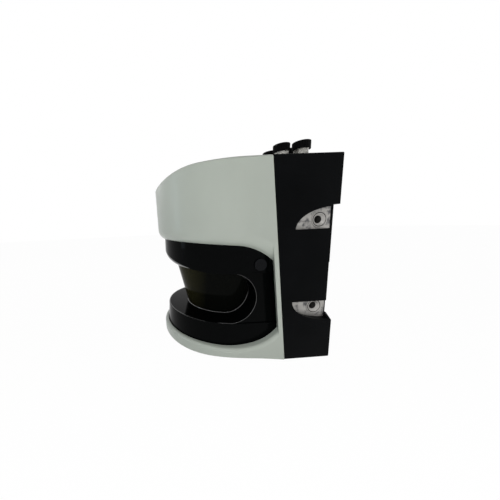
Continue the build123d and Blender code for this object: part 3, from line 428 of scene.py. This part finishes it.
# %% Metal finishes
BARE_DARK = (0.11, 0.11, 0.115)
BARE_LIGHT = (0.40, 0.39, 0.37)


def bare_metal_finish():
    """Bare milled metal of the pockets with cloudy stains and fine marks."""
    material, tree, shader = principled("bare_metal", BARE_LIGHT, 0.45, metallic=0.85)
    stains = ramp(tree, noise(tree, 190, 6), BARE_DARK, BARE_LIGHT, 0.36, 0.52)
    tree.links.new(stains, shader.inputs["Base Color"])
    tree.links.new(spread(tree, noise(tree, 260, 4), 0.38, 0.6), shader.inputs["Roughness"])
    bump(tree, shader, noise(tree, 700, 4), 0.25, 0.0003)
    return material


def metal_finish(name, colour, roughness):
    """Plain turned metal with a slight change of tone and roughness."""
    material, tree, shader = principled(name, colour, roughness, metallic=1.0)
    shade = np.array(colour)
    tone = ramp(tree, noise(tree, 350, 4), shade * 0.85, shade)
    tree.links.new(tone, shader.inputs["Base Color"])
    rings = noise(tree, 300, 4, (1, 1, 6))
    tree.links.new(spread(tree, rings, roughness * 0.8, roughness * 1.3), shader.inputs["Roughness"])
    bump(tree, shader, noise(tree, 1200, 3, (1, 1, 5)), 0.08, 0.0002)
    return material


FINISHES = {
    "hood_plastic": hood_finish(),
    "black_casting": casting_finish(),
    "black_gloss": gloss_finish(),
    "black_matte": plastic_finish("matte_black", (0.0025, 0.0025, 0.0027), 0.5, BLACK_GLEAM),
    "window_tint": window_finish(),
    "dark_lens": plastic_finish("side_lens_dark", (0.005, 0.0055, 0.0065), 0.15, 0.06),
    "seal_rubber": plastic_finish("seal_rubber", (0.008, 0.008, 0.008), 0.7, 0.15),
    "steel": metal_finish("steel", (0.42, 0.41, 0.39), 0.36),
    "plain_aluminium": metal_finish("aluminium", (0.68, 0.68, 0.69), 0.36),
    "copper_wire": metal_finish("copper_wire", (0.60, 0.28, 0.14), 0.35),
    "magnet": metal_finish("magnet", (0.22, 0.22, 0.23), 0.5),
    "clear_lens": lens_finish(),
    "mirror_coat": metal_finish("mirror_coat", (0.9, 0.9, 0.92), 0.03),
    "board_green": plastic_finish("board_green", (0.02, 0.13, 0.06), 0.4),
    "nickel": metal_finish("nickel", (0.66, 0.65, 0.62), 0.26),
}
BARE_METAL = bare_metal_finish()
# Painted shade: a dark steel for the bushes' groove and threaded bore, where shade falls.
PAINTED_SHADE_STEEL = metal_finish("painted_shade_steel", (0.07, 0.068, 0.065), 0.5)
EDGE_GLOSS = bead_finish()
print("finishes:", len(FINISHES) + 3)

# %% [markdown]
# Every node of the model takes the finish of its slot in the record. The casting takes two:
# the flat floors of its pockets are bare metal, the rest is coated. A face of a floor is found by
# its place and its direction, so the painting follows the model when a size changes.

# %% Dress the model's nodes
BUSH_PROUD = 0.4 * MM
FLOOR_BAND = 0.05 * MM
FLAT_ENOUGH = 0.99


def dress(name, slot):
    """Give a node the finish of its slot."""
    materials = nodes[name].data.materials
    materials.clear()
    materials.append(FINISHES[slot])


def paint_pocket_floors(mesh, floor_x):
    """Bare metal on each face that looks along X and lies at the depth of the pocket floors."""
    count = len(mesh.polygons)
    centres, normals = np.empty(count * 3), np.empty(count * 3)
    mesh.polygons.foreach_get("center", centres)
    mesh.polygons.foreach_get("normal", normals)
    depth = np.abs(centres.reshape(-1, 3)[:, 0])
    is_floor = (np.abs(depth - floor_x) < FLOOR_BAND) & (np.abs(normals.reshape(-1, 3)[:, 0]) > FLAT_ENOUGH)
    mesh.materials.append(BARE_METAL)
    mesh.polygons.foreach_set("material_index", is_floor.astype(np.int32))
    mesh.update()
    return int(is_floor.sum())


slots = {part["node"]: part["material_slot"] for part in frame["record"]["subparts"]}
for name, slot in slots.items():
    dress(name, slot)
pocket_floor_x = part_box("mount_bush_upper_right")[1][0] - BUSH_PROUD
print("bare faces:", paint_pocket_floors(nodes["rear_housing"].data, pocket_floor_x))

# %% [markdown]
# Threads, sockets and beads are one kind of surface: rows of points that go round and close on
# themselves. A row is a circle whose radius may change with the angle, so a thread is a turned
# profile plus a wave that climbs as it turns. The rows are worked out as whole arrays, and the ends
# are closed with a fan of triangles at a pole, or the last row is joined to the first as on a ring.

# %% Helpers for new pieces
AXIS_RADIUS = 0.01
CORNER_GAP = 0.004


def row_faces(rows, columns, is_ring):
    """Quads between neighbouring rows, and two fans to the poles unless the piece is a ring."""
    spans = rows if is_ring else rows - 1
    row, column = np.meshgrid(np.arange(spans), np.arange(columns), indexing="ij")
    low, high = row * columns, (row + 1) % rows * columns
    after = (column + 1) % columns
    quads = np.stack([low + column, low + after, high + after, high + column], -1).reshape(-1, 4).tolist()
    if is_ring:
        return quads
    here = np.arange(columns)
    there = (here + 1) % columns
    first, last = rows * columns, rows * columns + 1
    top = (rows - 1) * columns
    start_fan = np.stack([np.full(columns, first), there, here], -1)
    end_fan = np.stack([np.full(columns, last), top + here, top + there], -1)
    return quads + start_fan.tolist() + end_fan.tolist()


def add_piece(name, points, poles, slot, finish=None, body="scanner"):
    """New mesh piece from rows of points (row, column, xyz); without poles it is a ring."""
    rows, columns = points.shape[:2]
    vertices = points.reshape(-1, 3)
    if poles is not None:
        vertices = np.concatenate([vertices, poles])
    mesh = bpy.data.meshes.new(name)
    mesh.from_pydata(vertices.tolist(), [], row_faces(rows, columns, poles is None))
    mesh.polygons.foreach_set("use_smooth", np.ones(len(mesh.polygons), bool))
    mesh.materials.append(finish or FINISHES[slot])
    mesh.update()
    piece = bpy.data.objects.new(name, mesh)
    bpy.context.scene.collection.objects.link(piece)
    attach(piece, body)
    return piece


def turned_rows(radius, height, columns, centre, axes, change=None):
    """Circle round an axis for each (radius, height), in turn plus a change of radius.

    A point is centre + radius * cos(turn) * x + radius * sin(turn) * y + height * z."""
    turn = np.arange(columns) * (2 * math.pi / columns)
    radii = radius[:, None] + (0 if change is None else change)
    local = np.stack([radii * np.cos(turn), radii * np.sin(turn),
                      np.broadcast_to(height[:, None], radii.shape) + 0 * turn], -1)
    return centre + local @ axes


def thread_wave(height, columns, pitch, depth, start, end):
    """Triangle wave from 0 to depth that climbs one pitch in each turn.

    It is depth * |2 * share - 1| with share the fraction of (height / pitch - turn / 360 degrees),
    and it fades out over half a pitch at both ends."""
    turn = np.arange(columns) / columns
    share = (height[:, None] / pitch - turn) % 1.0
    fade = np.clip(np.minimum(height - start, end - height) / (pitch / 2), 0, 1)
    return depth * np.abs(2 * share - 1) * fade[:, None]


def profile(*points):
    """Radii and heights of a profile in metres, from points in millimetres."""
    table = np.array(points) * MM
    return table[:, 0], table[:, 1]


def doubled(radius, height, gap=CORNER_GAP * MM):
    """The profile with each corner as two close rows, so that smooth shading keeps it crisp."""
    step = np.stack([np.diff(radius), np.diff(height)], -1)
    length = np.linalg.norm(step, axis=1)[:, None]
    step = step / np.maximum(length, gap) * np.minimum(gap, length / 3)
    start = np.stack([radius[:-1], height[:-1]], -1) + step
    end = np.stack([radius[1:], height[1:]], -1) - step
    pairs = np.stack([start, end], 1).reshape(-1, 2)
    return pairs[:, 0], pairs[:, 1]


print("rows of 4 x 8 make", len(row_faces(4, 8, True)), "quads as a ring")

# %% [markdown]
# The mounting bushes are what a stranger fastens to. Seen close, each is a turned steel ring with a
# bright rim, a groove, a wide countersink and a thread. A plain hole would read as a dark dot,
# so the real thread is cut: a wave outwards from the bore, 1.25 mm a turn as on an M8 screw.
# The groove and the bore take a dark steel: painted shade of these recesses.

# %% Mounting bushes
BUSH_COLUMNS = 64
BUSH_PITCH = 1.25
BUSH_THREAD_DEPTH = 0.6
BUSH_BORE = 3.35
BUSH_BODY = 5.45
BUSH_FLANGE = 0.4
RIM_BEVEL = 0.15
LAND_DROP = 0.1
GROOVE_START = 0.75
GROOVE_SLOPE = 0.15
GROOVE_END = 1.65
GROOVE_DEPTH = 0.35
# Painted shade: the band of the groove's floor that takes the dark steel, measured in from the rim.
SHADE_START = 0.8
SHADE_END = 1.6
SINK_RADIUS = 5.0
SINK_FOOT = 0.2
SINK_DEPTH = 2.2
ROWS_PER_TURN = 8


def bush_rows(side, centre, flange, length):
    """Rows of a bush along X: outer wall, flange, rim, groove, countersink and threaded bore."""
    face, edge = length / MM, flange / MM
    under, land, floor = face - BUSH_FLANGE, face - LAND_DROP, face - GROOVE_DEPTH
    rim = profile((BUSH_BODY, 0), (BUSH_BODY, under), (edge, under), (edge, land),
                  (edge - RIM_BEVEL, face), (edge - GROOVE_START, face),
                  (edge - GROOVE_START - GROOVE_SLOPE, floor), (edge - GROOVE_END + GROOVE_SLOPE, floor),
                  (edge - GROOVE_END, land), (SINK_RADIUS, land),
                  (BUSH_BORE + SINK_FOOT, face - SINK_DEPTH))
    rim = doubled(*rim)
    turns = (face - SINK_DEPTH) / BUSH_PITCH
    bore_height = np.linspace(face - SINK_DEPTH, 0, int(turns * ROWS_PER_TURN)) * MM
    radius = np.concatenate([rim[0], np.full(len(bore_height), BUSH_BORE * MM)])
    height = np.concatenate([rim[1], bore_height])
    wave = thread_wave(height, BUSH_COLUMNS, BUSH_PITCH * MM, BUSH_THREAD_DEPTH * MM, 0, bore_height[0])
    wave[:len(rim[0])] = 0
    axes = np.array([[0, 1, 0], [0, 0, side], [side, 0, 0]], float)
    # Painted shade: the groove's floor and the whole bore are marked for the dark steel.
    in_groove = (radius < flange - SHADE_START * MM) & (radius > flange - SHADE_END * MM)
    in_painted_shade = in_groove & (height > length - MM / 2)
    in_painted_shade[len(rim[0]):] = True
    return turned_rows(radius, height, BUSH_COLUMNS, centre, axes, wave), in_painted_shade


def paint_shade_rows(mesh, in_painted_shade, columns):
    """Painted shade: dark steel on the faces of the groove and the thread, for the shade in these recesses.
    """
    mesh.materials.append(PAINTED_SHADE_STEEL)
    mesh.polygons.foreach_set("material_index", np.repeat(in_painted_shade, columns).astype(np.int32))
    mesh.update()


for side_name, side in (("right", 1), ("left", -1)):
    for level in ("upper", "lower"):
        node = f"mount_bush_{level}_{side_name}"
        low, high = (np.array(corner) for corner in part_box(node))
        middle = (low + high) / 2
        inner_x = low[0] if side > 0 else high[0]
        foot_centre = np.array([inner_x, middle[1], middle[2]])
        rows, in_painted_shade = bush_rows(side, foot_centre, (high[1] - low[1]) / 2, high[0] - low[0])
        piece = add_piece(f"threaded_bush_{level}_{side_name}", rows, None, "steel")
        paint_shade_rows(piece.data, in_painted_shade, BUSH_COLUMNS)
        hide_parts(node)
print("bush faces:", len(piece.data.polygons))

# %% [markdown]
# Each connector is a threaded collar on a round flange, with a deep bore for the pins. Its cap hides
# the upper turns and the lower ones shine between cap and casting. The thread is cut inwards from
# the collar, one millimetre a turn, so that the piece stays inside the model's own size.

# %% Connectors
CONNECTOR_COLUMNS = 64
CONNECTOR_BODY = 5.95
CONNECTOR_BODY_DEPTH = 14.0
CONNECTOR_FLANGE = 1.6
COLLAR_RADIUS = 6.0
COLLAR_PITCH = 1.0
COLLAR_THREAD_DEPTH = 0.55
COLLAR_NECK = 0.5
COLLAR_BORE = 4.6
COLLAR_BORE_DEPTH = 9.0
FLANGE_BEVEL = 0.3
MOUTH_BEVEL = 0.1
COLLAR_END = 0.2


def connector_rows(centre, flange, length):
    """Rows of a connector and its two poles: body, flange, threaded collar and bore."""
    top, edge = length / MM, flange / MM
    flange_top = CONNECTOR_BODY_DEPTH + CONNECTOR_FLANGE
    root = COLLAR_RADIUS - COLLAR_THREAD_DEPTH
    bore_floor = top - COLLAR_BORE_DEPTH
    foot = profile((AXIS_RADIUS, 0), (CONNECTOR_BODY, 0), (CONNECTOR_BODY, CONNECTOR_BODY_DEPTH),
                   (edge, CONNECTOR_BODY_DEPTH), (edge, flange_top - FLANGE_BEVEL),
                   (edge - FLANGE_BEVEL, flange_top), (root, flange_top))
    mouth = profile((root, top - MOUTH_BEVEL), (root - MOUTH_BEVEL, top), (COLLAR_BORE, top),
                    (COLLAR_BORE, bore_floor), (AXIS_RADIUS, bore_floor))
    start, end = (flange_top + COLLAR_NECK) * MM, (top - COLLAR_END) * MM
    count = int((end - start) / (COLLAR_PITCH * MM) * ROWS_PER_TURN)
    collar_height = np.linspace(start, end, count)
    collar_radius = np.full(count, root * MM)
    foot, mouth = doubled(*foot), doubled(*mouth)
    radius = np.concatenate([foot[0], collar_radius, mouth[0]])
    height = np.concatenate([foot[1], collar_height, mouth[1]])
    wave = thread_wave(height, CONNECTOR_COLUMNS, COLLAR_PITCH * MM, COLLAR_THREAD_DEPTH * MM, start, end)
    wave[:len(foot[0])] = 0
    wave[-len(mouth[0]):] = 0
    rows = turned_rows(radius, height, CONNECTOR_COLUMNS, centre, np.eye(3), wave)
    poles = np.array([centre + [0, 0, height[0]], centre + [0, 0, height[-1]]])
    return rows, poles


for use in ("power", "network", "signal", "service"):
    node = f"connector_{use}"
    low, high = (np.array(corner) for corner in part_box(node))
    foot_centre = np.array([(low[0] + high[0]) / 2, (low[1] + high[1]) / 2, low[2]])
    rows, poles = connector_rows(foot_centre, (high[0] - low[0]) / 2, high[2] - low[2])
    piece = add_piece(f"threaded_connector_{use}", rows, poles, "nickel")
    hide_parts(node)
print("connector faces:", len(piece.data.polygons))

# %% [markdown]
# The small screws have a hexagon socket and a fine thread. The socket is the same turned surface
# with a radius that follows the hexagon: its half width divided by the cosine of the angle to the
# middle of the nearest side. It is small but it is what the eye looks for on a screw's head.

# %% Screws
SCREW_COLUMNS = 36
SCREW_RADIUS = 1.5
SCREW_HEAD_HEIGHT = 1.9
SCREW_PITCH = 0.5
SCREW_THREAD_DEPTH = 0.28
SOCKET_HALF_WIDTH = 1.0
SOCKET_DEPTH = 1.1
SCREW_ROWS_PER_TURN = 5
SOCKET_ROWS = 5
TIP_LENGTH = 0.3
TIP_BEVEL = 0.4


def screw_rows(centre, axes, head, length):
    """Rows of a countersunk screw and its two poles, from the socket's floor to the tip."""
    tip = length / MM
    top = profile((AXIS_RADIUS, SOCKET_DEPTH), (SOCKET_HALF_WIDTH, SOCKET_DEPTH), (SOCKET_HALF_WIDTH, 0),
                  (head / MM, 0), (SCREW_RADIUS, SCREW_HEAD_HEIGHT))
    top = doubled(*top)
    start, end = SCREW_HEAD_HEIGHT * MM, (tip - TIP_LENGTH) * MM
    count = int((end - start) / (SCREW_PITCH * MM) * SCREW_ROWS_PER_TURN)
    shank = np.linspace(start, end, count)
    tail = profile((SCREW_RADIUS - TIP_BEVEL, tip), (AXIS_RADIUS, tip))
    radius = np.concatenate([top[0], np.full(count, SCREW_RADIUS * MM), tail[0]])
    height = np.concatenate([top[1], shank, tail[1]])
    change = -thread_wave(height, SCREW_COLUMNS, SCREW_PITCH * MM, SCREW_THREAD_DEPTH * MM, start, end)
    sixth = math.pi / 3
    turn = np.arange(SCREW_COLUMNS) * (2 * math.pi / SCREW_COLUMNS)
    corner = 1 / np.cos((turn + sixth / 2) % sixth - sixth / 2) - 1
    in_socket = np.zeros(len(radius), bool)
    in_socket[:SOCKET_ROWS] = True
    change[:len(top[0])] = 0
    change[in_socket] = radius[in_socket][:, None] * corner
    rows = turned_rows(radius, height, SCREW_COLUMNS, centre, axes, change)
    return rows, np.array([centre + height[0] * axes[2], centre + height[-1] * axes[2]])


UPWARDS = np.eye(3)
DOWNWARDS = np.diag([1.0, -1.0, -1.0])
screw_nodes = [name for name in nodes if "_screw_" in name]
for node in screw_nodes:
    low, high = (np.array(corner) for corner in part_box(node))
    is_below = node.startswith("base")
    middle = (low + high) / 2
    head_centre = np.array([middle[0], middle[1], low[2] if is_below else high[2]])
    axes = UPWARDS if is_below else DOWNWARDS
    rows, poles = screw_rows(head_centre, axes, (high[0] - low[0]) / 2, high[2] - low[2])
    piece = add_piece("socket_" + node, rows, poles, "steel")
    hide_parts(node)
print("screws:", len(screw_nodes))

# %% [markdown]
# Two bright lines run round the groove in the photograph. One is the bead where the window stands on
# the ring and climbs the round end of the groove. The other is the rounded rim of the ring, which
# goes on up the edge of that round end. Light catches a rounded edge whatever its direction,
# so both are thin tubes on a path worked out from the groove's own circle and the window's taper.

# %% Beads round the groove
GROOVE_MIDDLE = (-13.0, 59.0)
GROOVE_RADIUS = 25.0
WINDOW_TOP_RADIUS = 57.5
WINDOW_SLOPE = 0.25
PANEL_X = 68.7
RIM_RADIUS = 69.2
RIM_DROP = 1.0
LIP_SINK = 0.25
BEAD_RADIUS = 0.75
RIM_BEAD = 1.05
LIP_BEAD = 0.3
TUBE_COLUMNS = 12
END_STEPS = 60
FRONT_STEPS = 120
BLEND_STEPS = 14
END_THINNING = 20
END_SHARE = 0.2


def window_radius(height):
    """Radius of the window's taper at a height, in millimetres."""
    return WINDOW_TOP_RADIUS + WINDOW_SLOPE * (height - GROOVE_MIDDLE[1] - GROOVE_RADIUS)


def groove_end():
    """Y and Z of the round end of the groove from its top to its foot: a half circle."""
    turn = np.linspace(math.pi / 2, -math.pi / 2, END_STEPS)
    return GROOVE_MIDDLE[0] + GROOVE_RADIUS * np.cos(turn), GROOVE_MIDDLE[1] + GROOVE_RADIUS * np.sin(turn)


def round_the_front(right, radius, height):
    """Path down the right end, round the front on a circle at a height, and up the left end."""
    first = math.asin(right[-1, 1] / radius)
    turn = np.linspace(first, -math.pi - first, FRONT_STEPS)[1:-1]
    front = np.stack([radius * np.cos(turn), radius * np.sin(turn), np.full(len(turn), height)], -1)
    left = (right * [-1, 1, 1])[::-1]
    return np.concatenate([right, front, left])


def window_bead_path():
    """Points on the window; on the groove's ends X is the root of window radius squared less Y squared."""
    y, z = groove_end()
    x = np.sqrt(window_radius(z) ** 2 - y ** 2)
    return round_the_front(np.stack([x, y, z], -1), window_radius(z[-1]), z[-1])


def rim_path():
    """Points just inside the ring's rounded rim, eased up to the groove's edge on the side panels."""
    y, z = groove_end()
    right = np.stack([np.full(END_STEPS, PANEL_X - LIP_SINK), y, z], -1)
    path = round_the_front(right, RIM_RADIUS, z[-1] - RIM_DROP)
    weight = np.clip((np.arange(FRONT_STEPS - 2) + 1) / BLEND_STEPS, 0, 1)
    weight = np.minimum(weight, weight[::-1])
    eased = weight * weight * (3 - 2 * weight)
    path[END_STEPS:-END_STEPS, 2] = z[-1] - RIM_DROP * eased
    return path


def tube_rows(path, outward, radius):
    """Round tube on a path: path + radius * (cos * n + sin * (t x n)), thin at both ends.

    t is the path's direction and n is the outward direction made square to it."""
    along = np.gradient(path, axis=0)
    along /= np.linalg.norm(along, axis=1)[:, None]
    across = outward - (outward * along).sum(1)[:, None] * along
    across /= np.linalg.norm(across, axis=1)[:, None]
    other = np.cross(along, across)
    turn = np.arange(TUBE_COLUMNS) * (2 * math.pi / TUBE_COLUMNS)
    share = np.linspace(0, 1, len(path))
    thin = np.clip(np.minimum(share, 1 - share) * END_THINNING + END_SHARE, 0, 1)
    ring = np.cos(turn)[:, None] * across[:, None, :] + np.sin(turn)[:, None] * other[:, None, :]
    return path[:, None, :] + (radius * thin)[:, None, None] * ring


def add_bead(name, path, radius):
    """Tube on a path round the groove, outwards from the scan axis, with the polished edge's finish."""
    rows = tube_rows(path, path * [1, 1, 0], radius)
    return add_piece(name, rows * MM, path[[0, -1]] * MM, "black_gloss", EDGE_GLOSS)


window_bead = add_bead("window_bead", window_bead_path(), BEAD_RADIUS)
rim = rim_path()
rim_size = np.interp(np.arange(len(rim)), [END_STEPS, END_STEPS + BLEND_STEPS], [LIP_BEAD, RIM_BEAD])
groove_rim = add_bead("groove_rim", rim, np.minimum(rim_size, rim_size[::-1]))
print("bead faces:", len(window_bead.data.polygons) + len(groove_rim.data.polygons))
